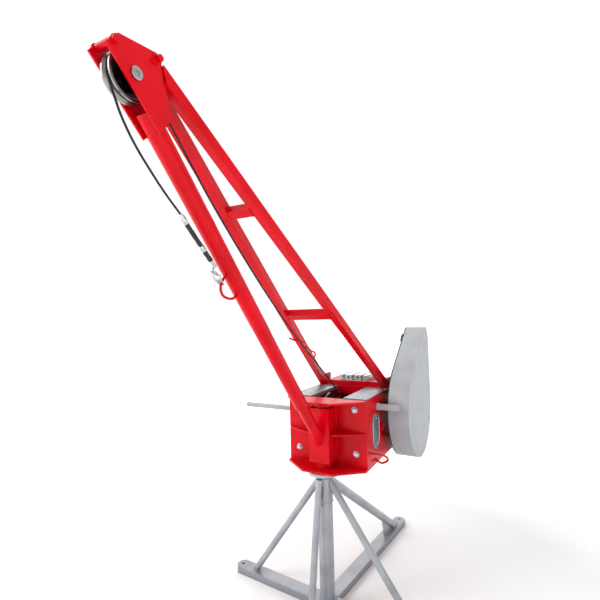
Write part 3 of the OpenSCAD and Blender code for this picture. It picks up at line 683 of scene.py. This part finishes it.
bow_line = [mm(-8, -658, 1292.8), mm(-8.5, -651, 1287.7), mm(-8.5, -644, 1282.5), mm(-6, -639.5, 1279),
            mm(0, -637.2, 1277.2), mm(6, -639.5, 1279), mm(8.5, -644, 1282.5), mm(8.5, -651, 1287.7),
            mm(8, -658, 1292.8)]
bow_taper = [1.2, 1.05, 1, 1, 1, 1, 1, 1.05, 1.2]
bow = wires("shackle_bow", [(bow_line, False, bow_taper)], 0.0021, sides=12, rounded=True)
finish_piece(bow, "turret", zinc, ["shackle"])
pin = turned("shackle_pin", mm(-12, -658, 1292.8), mm(12, -658, 1292.8),
             [(0, 3.0), (0.03, 3.8), (0.1, 3.8), (0.13, 2.5), (0.9, 2.5), (0.97, 2.4), (1, 1.8)], 20)
finish_piece(pin, "turret", zinc)
print("hook faces:", len(hook_body.data.polygons))

# %% Bent red bar
handle_line = [mm(0, y, z) for y, z in (
    (-620, 1306.7), (-632, 1295), (-641, 1283), (-645, 1270), (-642, 1256), (-633, 1246), (-618, 1241),
    (-603, 1239), (-588, 1240.5), (-571, 1250.5))]
handle = wires("bent_bar_handle", [(handle_line, False)], 0.004, sides=14, rounded=True)
finish_piece(handle, "turret", red_powder_coat, ["d_handle"])
side_line = [mm(177, 60, 621), mm(190, 78, 614), mm(203, 104, 606), mm(213, 136, 592), mm(218, 164, 574),
             mm(214, 174, 560), mm(204, 162, 555), mm(194, 140, 560), mm(186, 133, 568), mm(177, 134, 574)]
side_loop = wires("bent_side_loop", [(side_line, False)], 0.0045, sides=14, rounded=True)
finish_piece(side_loop, "turret", red_powder_coat)
lead_line = [mm(-156, 4, 1090), mm(-140, 10, 1082), mm(-120, 18, 1076), mm(-100, 26, 1072), mm(-88, 30, 1072)]
pigtail_line = [mm(-118, 84, 1046), mm(-102, 84, 1038), mm(-87, 85, 1026), mm(-75, 86, 1021),
                mm(-72, 87, 1010), mm(-78, 88, 1000), mm(-89, 90, 998), mm(-98, 92, 1005), mm(-98, 94, 1016)]
leads = wires("tie_lead_eyes", [(lead_line, False, [1.1] * 5), (pigtail_line, False)], 0.004, sides=12,
              rounded=True)
finish_piece(leads, "turret", red_powder_coat, ["tie_rope_leads"])
print("bent bar:", handle.name, side_loop.name, leads.name)

# %% [markdown]
# The side loop's neighbour is a small open hook, cut from a thick ring and welded flat on the side plate.
# It is a square outline that is spun for a little more than half a turn, which leaves its mouth open to the
# rear.

# %% The open side hook
def open_ring(name, centre, inner, outer, depth, first, last):
    """Part of a thick ring standing out along X, with its angles from the +Y direction in degrees."""
    bm = bmesh.new()
    a = math.radians(first)
    way = Vector((0, math.cos(a), math.sin(a)))
    corners = [centre + way * (r * 0.001) + Vector((x * 0.001, 0, 0))
               for r, x in ((inner, 0), (outer, 0), (outer, depth), (inner, depth))]
    face = bm.faces.new([bm.verts.new(c) for c in corners])
    bmesh.ops.spin(bm, geom=[face], cent=centre, axis=(1, 0, 0), dvec=(0, 0, 0),
                   angle=math.radians(last - first), steps=24, use_duplicate=False)
    bmesh.ops.bevel(bm, geom=[e for e in bm.edges if len(e.link_faces) == 2 and e.calc_face_angle(0) > 1.0],
                    offset=0.0008, segments=2, affect="EDGES", profile=0.5, material=-1)
    return mesh_piece(name, bm)


side_hook = open_ring("open_side_hook", mm(177, 232, 686), 9, 15, 10, 80, 280)
finish_piece(side_hook, "turret", red_powder_coat)
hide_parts("side_eye")
print("side hook faces:", len(side_hook.data.polygons))

# %% [markdown]
# ## Weld beads
# A weld is laid drop by drop, so its bead has ripples about 6 mm apart and is never quite one thickness. A
# line with a point every 2 mm, whose thickness swells and shrinks in turn, gives exactly that under the
# paint. Most of these lines are simple: straight edges, circles round tubes, and ovals where a slanted tube
# meets a plate.

# %% Lines for beads
def oval(centre, u, v, steps=64):
    """A closed oval round centre with half-axes u and v."""
    turns = [math.tau * k / steps for k in range(steps)]
    return [centre + u * math.cos(a) + v * math.sin(a) for a in turns]


def bead(points, closed=False, size=2.6):
    """One rippled bead along a line; size is its radius in millimetres."""
    spots = evenly(points, 0.0022, closed)
    sizes = [size * (1 + 0.13 * math.sin(k * math.tau / 3) + 0.08 * math.sin(k * 0.37))
             for k in range(len(spots))]
    return (spots, closed, sizes)


ALONG_X = Vector((0.001, 0, 0))
ALONG_Y = Vector((0, 0.001, 0))
ALONG_Z = Vector((0, 0, 0.001))
boom_normal = BOOM_WAY.cross(Vector((1, 0, 0))).normalized() * 0.001
print("one ripple every 6.6 mm")

# %% Beads on the red housing and boom
TIE_X = 162
red_beads = [
    bead(oval(BOOM_ROOT, ALONG_X * 21.6, ALONG_Z * 32.5), True, 3.4),
    bead(oval(boom_point(211.5), ALONG_X * 23.0, boom_normal * 23.0), True, 2.8),
]
for s in (-1, 1):
    red_beads.append(bead([mm(s * 45, 33, 588), mm(s * 45, 33, 694)]))
    red_beads.append(bead([mm(s * 45, 33, 706), mm(s * 45, 33, 806)]))
    for z in (563.5, 826.5):
        red_beads.append(bead([mm(s * 46, 33, z), mm(s * 176, 33, z)], size=2.2))
    for z in (697, 703):
        red_beads.append(bead([mm(s * 46, 33, z), mm(s * 170, 33, z)], size=2.0))
        red_beads.append(bead([mm(s * 45, -29, z), mm(s * 45, 32, z)], size=2.0))
    inner, outer = s * (TIE_X - 15), s * (TIE_X + 8)
    foot = [mm(inner, 345, 835.5), mm(outer, 345, 835.5), mm(outer, 396, 835.5), mm(inner, 396, 835.5)]
    red_beads.append(bead(foot, True, 2.6))
    red_beads.append(bead([mm(s * 168.5, 396, 836), mm(s * 168.5, 346, 873)], size=2.0))
    red_beads.append(bead([mm(s * 25, -884, 1620), mm(s * 25, -867, 1646)], size=2.8))
    for y, z, r in ((-1011, 1771, 9.6), (-899, 1787, 12.6)):
        red_beads.append(bead(oval(mm(s * 30.6, y, z), ALONG_Y * r, ALONG_Z * r, 40), True, 1.3))
red_beads.append(bead([mm(-168, 340, 835), mm(168, 340, 835)], size=2.2))
tie_foot, tie_head = mm(TIE_X, 370, 835), mm(24, -840, 1735)
tie_way = (tie_head - tie_foot).normalized()
tie_slope = Vector((0, tie_way.y, tie_way.z)).normalized() * 0.001
tie_up = Vector((1, 0, 0)).cross(tie_slope).normalized() * 0.001
for share in (0.751, 0.393):
    middle = tie_foot.lerp(tie_head, share)
    for s in (-1, 1):
        centre = Vector((s * (middle.x - 0.0165), middle.y, middle.z))
        corners = [centre + tie_slope * (a * 15) + tie_up * (b * 15)
                   for a, b in ((-1, -1), (1, -1), (1, 1), (-1, 1))]
        red_beads.append(bead(corners, True, 2.2))
for point in (mm(0, -620, 1306.7), mm(0, -571, 1250.5)):
    red_beads.append(bead(oval(point - boom_normal * -1.0, ALONG_X * 4.6, BOOM_WAY * 0.0055, 24), True, 1.9))
for point in (mm(178, 60, 621), mm(178, 134, 574)):
    red_beads.append(bead(oval(point, ALONG_Y * 5.4, ALONG_Z * 5.0, 24), True, 2.0))
red_welds = wires("red_weld_beads", red_beads, 0.001, sides=8)
finish_piece(red_welds, "turret", red_powder_coat)
print(red_welds.name, len(red_welds.data.polygons), "faces")

# %% Beads on the silver stand
def on_arm(degrees, points):
    """Points drawn along local X, turned to the arm at that angle."""
    spin = Matrix.Rotation(STAND_TURN + math.radians(degrees), 3, "Z")
    return [spin @ p for p in points]


silver_beads = [
    bead(oval(mm(0, 0, 37.5), ALONG_X * 30.6, ALONG_Y * 30.6), True, 2.4),
    bead(oval(mm(0, 0, 535), ALONG_X * 31, ALONG_Y * 31), True, 2.6),
    bead(oval(mm(0, 0, 425), ALONG_X * 32.2, ALONG_Y * 32.2), True, 1.8),
    bead(oval(mm(0, 0, 520), ALONG_X * 32.2, ALONG_Y * 32.2), True, 1.8),
]
CAP_LENGTH = 55
ARMS = ((0, 485, 380, 26.9), (180, 485, 380, 26.9), (90, 812, 705, 38.0), (-90, 222, 127, 26.9))
for angle, reach, foot, thick in ARMS:
    top, bottom = mm(30, 0, 500), mm(foot, 0, 30)
    slope = (bottom - top).normalized()
    at_sleeve = top + slope * (0.0035 / slope.x)
    tall, long = thick / 2 / slope.x, thick / 2 / -slope.z
    head_oval = oval(at_sleeve, ALONG_Y * (thick / 2), ALONG_Z * tall, 48)
    foot_oval = oval(bottom, ALONG_X * long, ALONG_Y * (thick / 2), 48)
    silver_beads.append(bead(on_arm(angle, head_oval), True, 2.2))
    silver_beads.append(bead(on_arm(angle, foot_oval), True, 2.4))
    seam = reach - CAP_LENGTH
    ring = [mm(seam, -30, 0.8), mm(seam, -30, 30), mm(seam, 30, 30), mm(seam, 30, 0.8)]
    silver_beads.append(bead(on_arm(angle, ring), False, 0.8))
for angle in (90, -90):
    silver_beads.append(bead(on_arm(angle, [mm(30, -29, 30), mm(30, 29, 30)]), size=2.0))
    for side in (-1, 1):
        corner = [mm(30.5, side * 30.5, 2.6), mm(30.5, side * 30.5, 29)]
        silver_beads.append(bead(on_arm(angle, corner), size=2.0))
for side in (-1, 1):
    silver_beads.append(bead(on_arm(90, [mm(576, side * 3, 31), mm(664, side * 3, 31)]), size=2.0))
silver_welds = wires("silver_weld_beads", silver_beads, 0.001, sides=8)
finish_piece(silver_welds, "stand", silver_paint)
print(silver_welds.name, len(silver_welds.data.polygons), "faces")

# %% Beads on the push bars and the guard's rolled edge
def loop_round(a, ra, b, rb, x, step_degrees=4):
    """The closed line that a belt takes round two wheels: centres (y, z) and radii in millimetres."""
    span = math.hypot(b[0] - a[0], b[1] - a[1])
    t = math.atan2(b[1] - a[1], b[0] - a[0])
    w = math.acos((ra - rb) / span)
    points = []
    for centre, radius, start, stop in ((a, ra, t + w, t - w + math.tau), (b, rb, t - w, t + w)):
        count = max(2, round(math.degrees(stop - start) / step_degrees))
        for k in range(count + 1):
            angle = start + (stop - start) * k / count
            points.append(mm(x, centre[0] + radius * math.cos(angle), centre[1] + radius * math.sin(angle)))
    return points


guard_line = loop_round((421, 745), 221.6, (571, 1045), 65.6, 303.8)
rolled_edge = wires("guard_rolled_edge", [(guard_line, True)], 0.0019, sides=10)
finish_piece(rolled_edge, "turret", sheet_paint)
bar_roots = wires("push_bar_root_beads", [
    bead([mm(186, 172 + y, 786 + z) for y, z in ((-11, -11), (11, -11), (11, 11), (-11, 11))], True, 2.0),
    bead(oval(mm(-186, 172, 744), ALONG_Y * 11.6, ALONG_Z * 11.6, 40), True, 2.2)], 0.001, sides=8)
finish_piece(bar_roots, "turret", sheet_paint)
cover_rim = wires("slot_cover_rim", [(loop_round((142, 658), 38.6, (142, 726), 38.6, 180.2), True)], 0.0014,
                  sides=10)
finish_piece(cover_rim, "turret", zinc)
print(rolled_edge.name, bar_roots.name, cover_rim.name)

# %% [markdown]
# ## Bolts with washers
# The flange is held by four bolts, whose heads are 19 mm across the flats over 26 mm washers. A six-sided
# cylinder is the head, and a bevel on its outer rim gives the round chamfer of a forged head. The washer
# and the thread end are spun, and all three join into one mesh.

# %% Front bolts
def hex_bolt(bm, base, way, across=19.0, head=7.5, washer=(13.0, 2.5), stud=(6.0, 2.6)):
    """Adds a washer, a hexagon and a thread end along way, in millimetres."""
    place = Matrix.Translation(base) @ way.to_track_quat("Z", "X").to_matrix().to_4x4()
    lift = Matrix.Translation((0, 0, (washer[1] + head / 2) * 0.001))
    radius = across / 2 / math.cos(math.pi / 6) * 0.001
    made = bmesh.ops.create_cone(bm, cap_ends=True, segments=6, radius1=radius, radius2=radius,
                                 depth=head * 0.001, matrix=place @ lift)
    top = (washer[1] + head) * 0.001
    rim = [e for e in {e for v in made["verts"] for e in v.link_edges}
           if all(abs((place.inverted() @ v.co).z - top) < 1e-5 for v in e.verts)]
    bmesh.ops.bevel(bm, geom=rim, offset=0.0012, segments=2, affect="EDGES", profile=0.5, material=-1)
    outlines = [
        [(0, 0), (washer[0] - 0.4, 0), (washer[0], 0.4), (washer[0], washer[1] - 0.4),
         (washer[0] - 0.4, washer[1]), (0, washer[1])],
        [(0, washer[1] + head - 1)]
        + [(stud[0] - 0.35 * (k % 2), washer[1] + head - 1 + 0.6 * k) for k in range(6)]
        + [(stud[0] - 1.2, washer[1] + head + stud[1]), (0, washer[1] + head + stud[1])],
    ]
    for outline in outlines:
        verts = [bm.verts.new(place @ Vector((r * 0.001, 0, z * 0.001))) for r, z in outline]
        edges = [bm.edges.new(pair) for pair in zip(verts, verts[1:])]
        bmesh.ops.spin(bm, geom=verts + edges, cent=base, axis=way, dvec=(0, 0, 0), angle=math.tau, steps=28,
                       use_merge=True, use_duplicate=False)


bolts = bmesh.new()
for x, z in ((-128, 796), (128, 796), (-130, 618), (130, 618)):
    hex_bolt(bolts, mm(x, 33, z), Vector((0, -1, 0)))
front_bolts = mesh_piece("flange_bolts", bolts, 30)
finish_piece(front_bolts, "turret", zinc, ["front_bolts"])
print(front_bolts.name, len(front_bolts.data.polygons), "faces")

# %% [markdown]
# ## Axle, cover screws and slot cover screws
# The sheave's axle ends in a round head with a hexagon socket, drawn here as a small round dimple. The
# covers are held by small pan-head screws, which are domed discs with a small dimple pressed into them.

# %% Axle pin
axle = turned("axle_pin_with_socket", mm(-38.4, -958, 1724), mm(36.4, -958, 1724),
              [(0, 12.6), (0.015, 14), (0.1, 14), (0.107, 13.4), (0.107, 10), (0.92, 10), (0.92, 14.4),
               (0.935, 15), (0.985, 15), (1, 14), (1, 5.6), (0.955, 4.9)], 40)
finish_piece(axle, "turret", axle_steel, ["axle_pin"])
print(axle.name)


# %% Pan-head screws
def pan_screw(bm, base, way, radius, height):
    """A domed screw head with a small centre dimple, standing on base along way, in millimetres."""
    place = Matrix.Translation(base) @ way.to_track_quat("Z", "X").to_matrix().to_4x4()
    dome = [(0, 0), (radius, 0), (radius, height * 0.35), (radius * 0.86, height * 0.75),
            (radius * 0.55, height), (radius * 0.2, height)]
    verts = [bm.verts.new(place @ Vector((r * 0.001, 0, z * 0.001))) for r, z in dome]
    verts.append(bm.verts.new(place @ Vector((0, 0, height * 0.00045))))
    edges = [bm.edges.new(pair) for pair in zip(verts, verts[1:])]
    bmesh.ops.spin(bm, geom=verts + edges, cent=base, axis=way, dvec=(0, 0, 0), angle=math.tau, steps=16,
                   use_merge=True, use_duplicate=False)


screws = bmesh.new()
for s in (-1, 1):
    for y in (61, 313):
        pan_screw(screws, mm(s * 173, y, 838), Vector((0, 0, 1)), 3.8, 2.6)
for z in (640, 744):
    pan_screw(screws, mm(183, 142, z), Vector((1, 0, 0)), 4.2, 2.6)
cover_screws = mesh_piece("pan_head_screws", screws, 30)
finish_piece(cover_screws, "turret", zinc, ["cover_screws"])
print(cover_screws.name)

# %% [markdown]
# ## Roller chain
# The drum is driven by a simple roller chain. Inner and outer links take turns: two plates with two rollers
# between them, then two plates outside those. Its inner plates dip 1.2 mm into the plain sprocket discs,
# which have no teeth. Each plate starts as a small circle whose front half is pushed forward by one pitch,
# and it is then given its thickness, so a link needs only a few dozen faces.

# %% Chain links
CHAIN_X = 97.0
wheel_a, wheel_b = (200, 740), (421, 745)
chain_line = loop_round(wheel_a, 75.6, wheel_b, 35.6, CHAIN_X)
link_count = 2 * round(line_length(chain_line + chain_line[:1]) / 0.0132 / 2)
pins = evenly(chain_line, line_length(chain_line + chain_line[:1]) / link_count, closed=True)[:link_count]


def link_plate(bm, start, end, x, thick, half_height):
    """A round-ended plate from start to end, standing at x, in metres."""
    made = bmesh.ops.create_circle(bm, cap_ends=True, radius=half_height, segments=12)
    pitch = (end - start).length
    for vert in made["verts"]:
        if vert.co.x > 1e-7:
            vert.co.x += pitch
    face = made["verts"][0].link_faces[0]
    grown = bmesh.ops.extrude_face_region(bm, geom=[face], use_keep_orig=True)
    raised = [g for g in grown["geom"] if isinstance(g, bmesh.types.BMVert)]
    bmesh.ops.translate(bm, vec=(0, 0, thick), verts=raised)
    way = (end - start).normalized()
    axes = Matrix((way, Vector((1, 0, 0)).cross(way), Vector((1, 0, 0)))).transposed().to_4x4()
    place = Matrix.Translation(Vector((x, start.y, start.z))) @ axes
    bmesh.ops.transform(bm, matrix=place, verts=made["verts"] + raised)


chain = bmesh.new()
for k, start in enumerate(pins):
    end = pins[(k + 1) % len(pins)]
    for offset in ((-3.9, 2.7) if k % 2 else (-5.2, 4.0)):
        link_plate(chain, start, end, (CHAIN_X + offset) * 0.001, 0.0012, 0.0048)
    upright = Matrix.Translation(start) @ Matrix.Rotation(math.pi / 2, 4, "Y")
    bmesh.ops.create_cone(chain, cap_ends=True, segments=10, radius1=0.0039, radius2=0.0039, depth=0.0052,
                          matrix=upright)
    bmesh.ops.create_cone(chain, cap_ends=True, segments=8, radius1=0.0017, radius2=0.0017, depth=0.0118,
                          matrix=upright)
roller_chain = mesh_piece("roller_chain_links", chain, 40)
finish_piece(roller_chain, "turret", chain_steel, ["drive_chain"])
print(roller_chain.name, "links:", link_count)

# %% [markdown]
# ## Floor
# The crane stands on a plain pale workshop floor. It is only there to catch the soft shadow under the arms.
# Far from the crane it glows faintly white, so the floor melts into the pale room without a line.

# %% Floor
floor_paint, floor_tree, floor_shader, floor_place = new_finish("pale_floor_paint", Roughness=0.6)
floor_shader.inputs["Base Color"].default_value = linear("F4F4F4")
floor_shader.inputs["Emission Color"].default_value = (1.0, 1.0, 1.0, 1.0)
reach_out = add_node(floor_tree, "ShaderNodeVectorMath", links={0: floor_place}, operation="LENGTH")
far_glow = add_node(floor_tree, "ShaderNodeMapRange", {"From Min": 1.2, "From Max": 3.2},
                    {"Value": reach_out.outputs["Value"]})
floor_tree.links.new(far_glow.outputs["Result"], floor_shader.inputs["Emission Strength"])
floor_mesh = bmesh.new()
bmesh.ops.create_grid(floor_mesh, x_segments=1, y_segments=1, size=30.0)
bmesh.ops.translate(floor_mesh, vec=(0, 0, -0.0005), verts=floor_mesh.verts)
floor = mesh_piece("studio_floor", floor_mesh)
floor.data.materials.append(floor_paint)
print("floor laid")
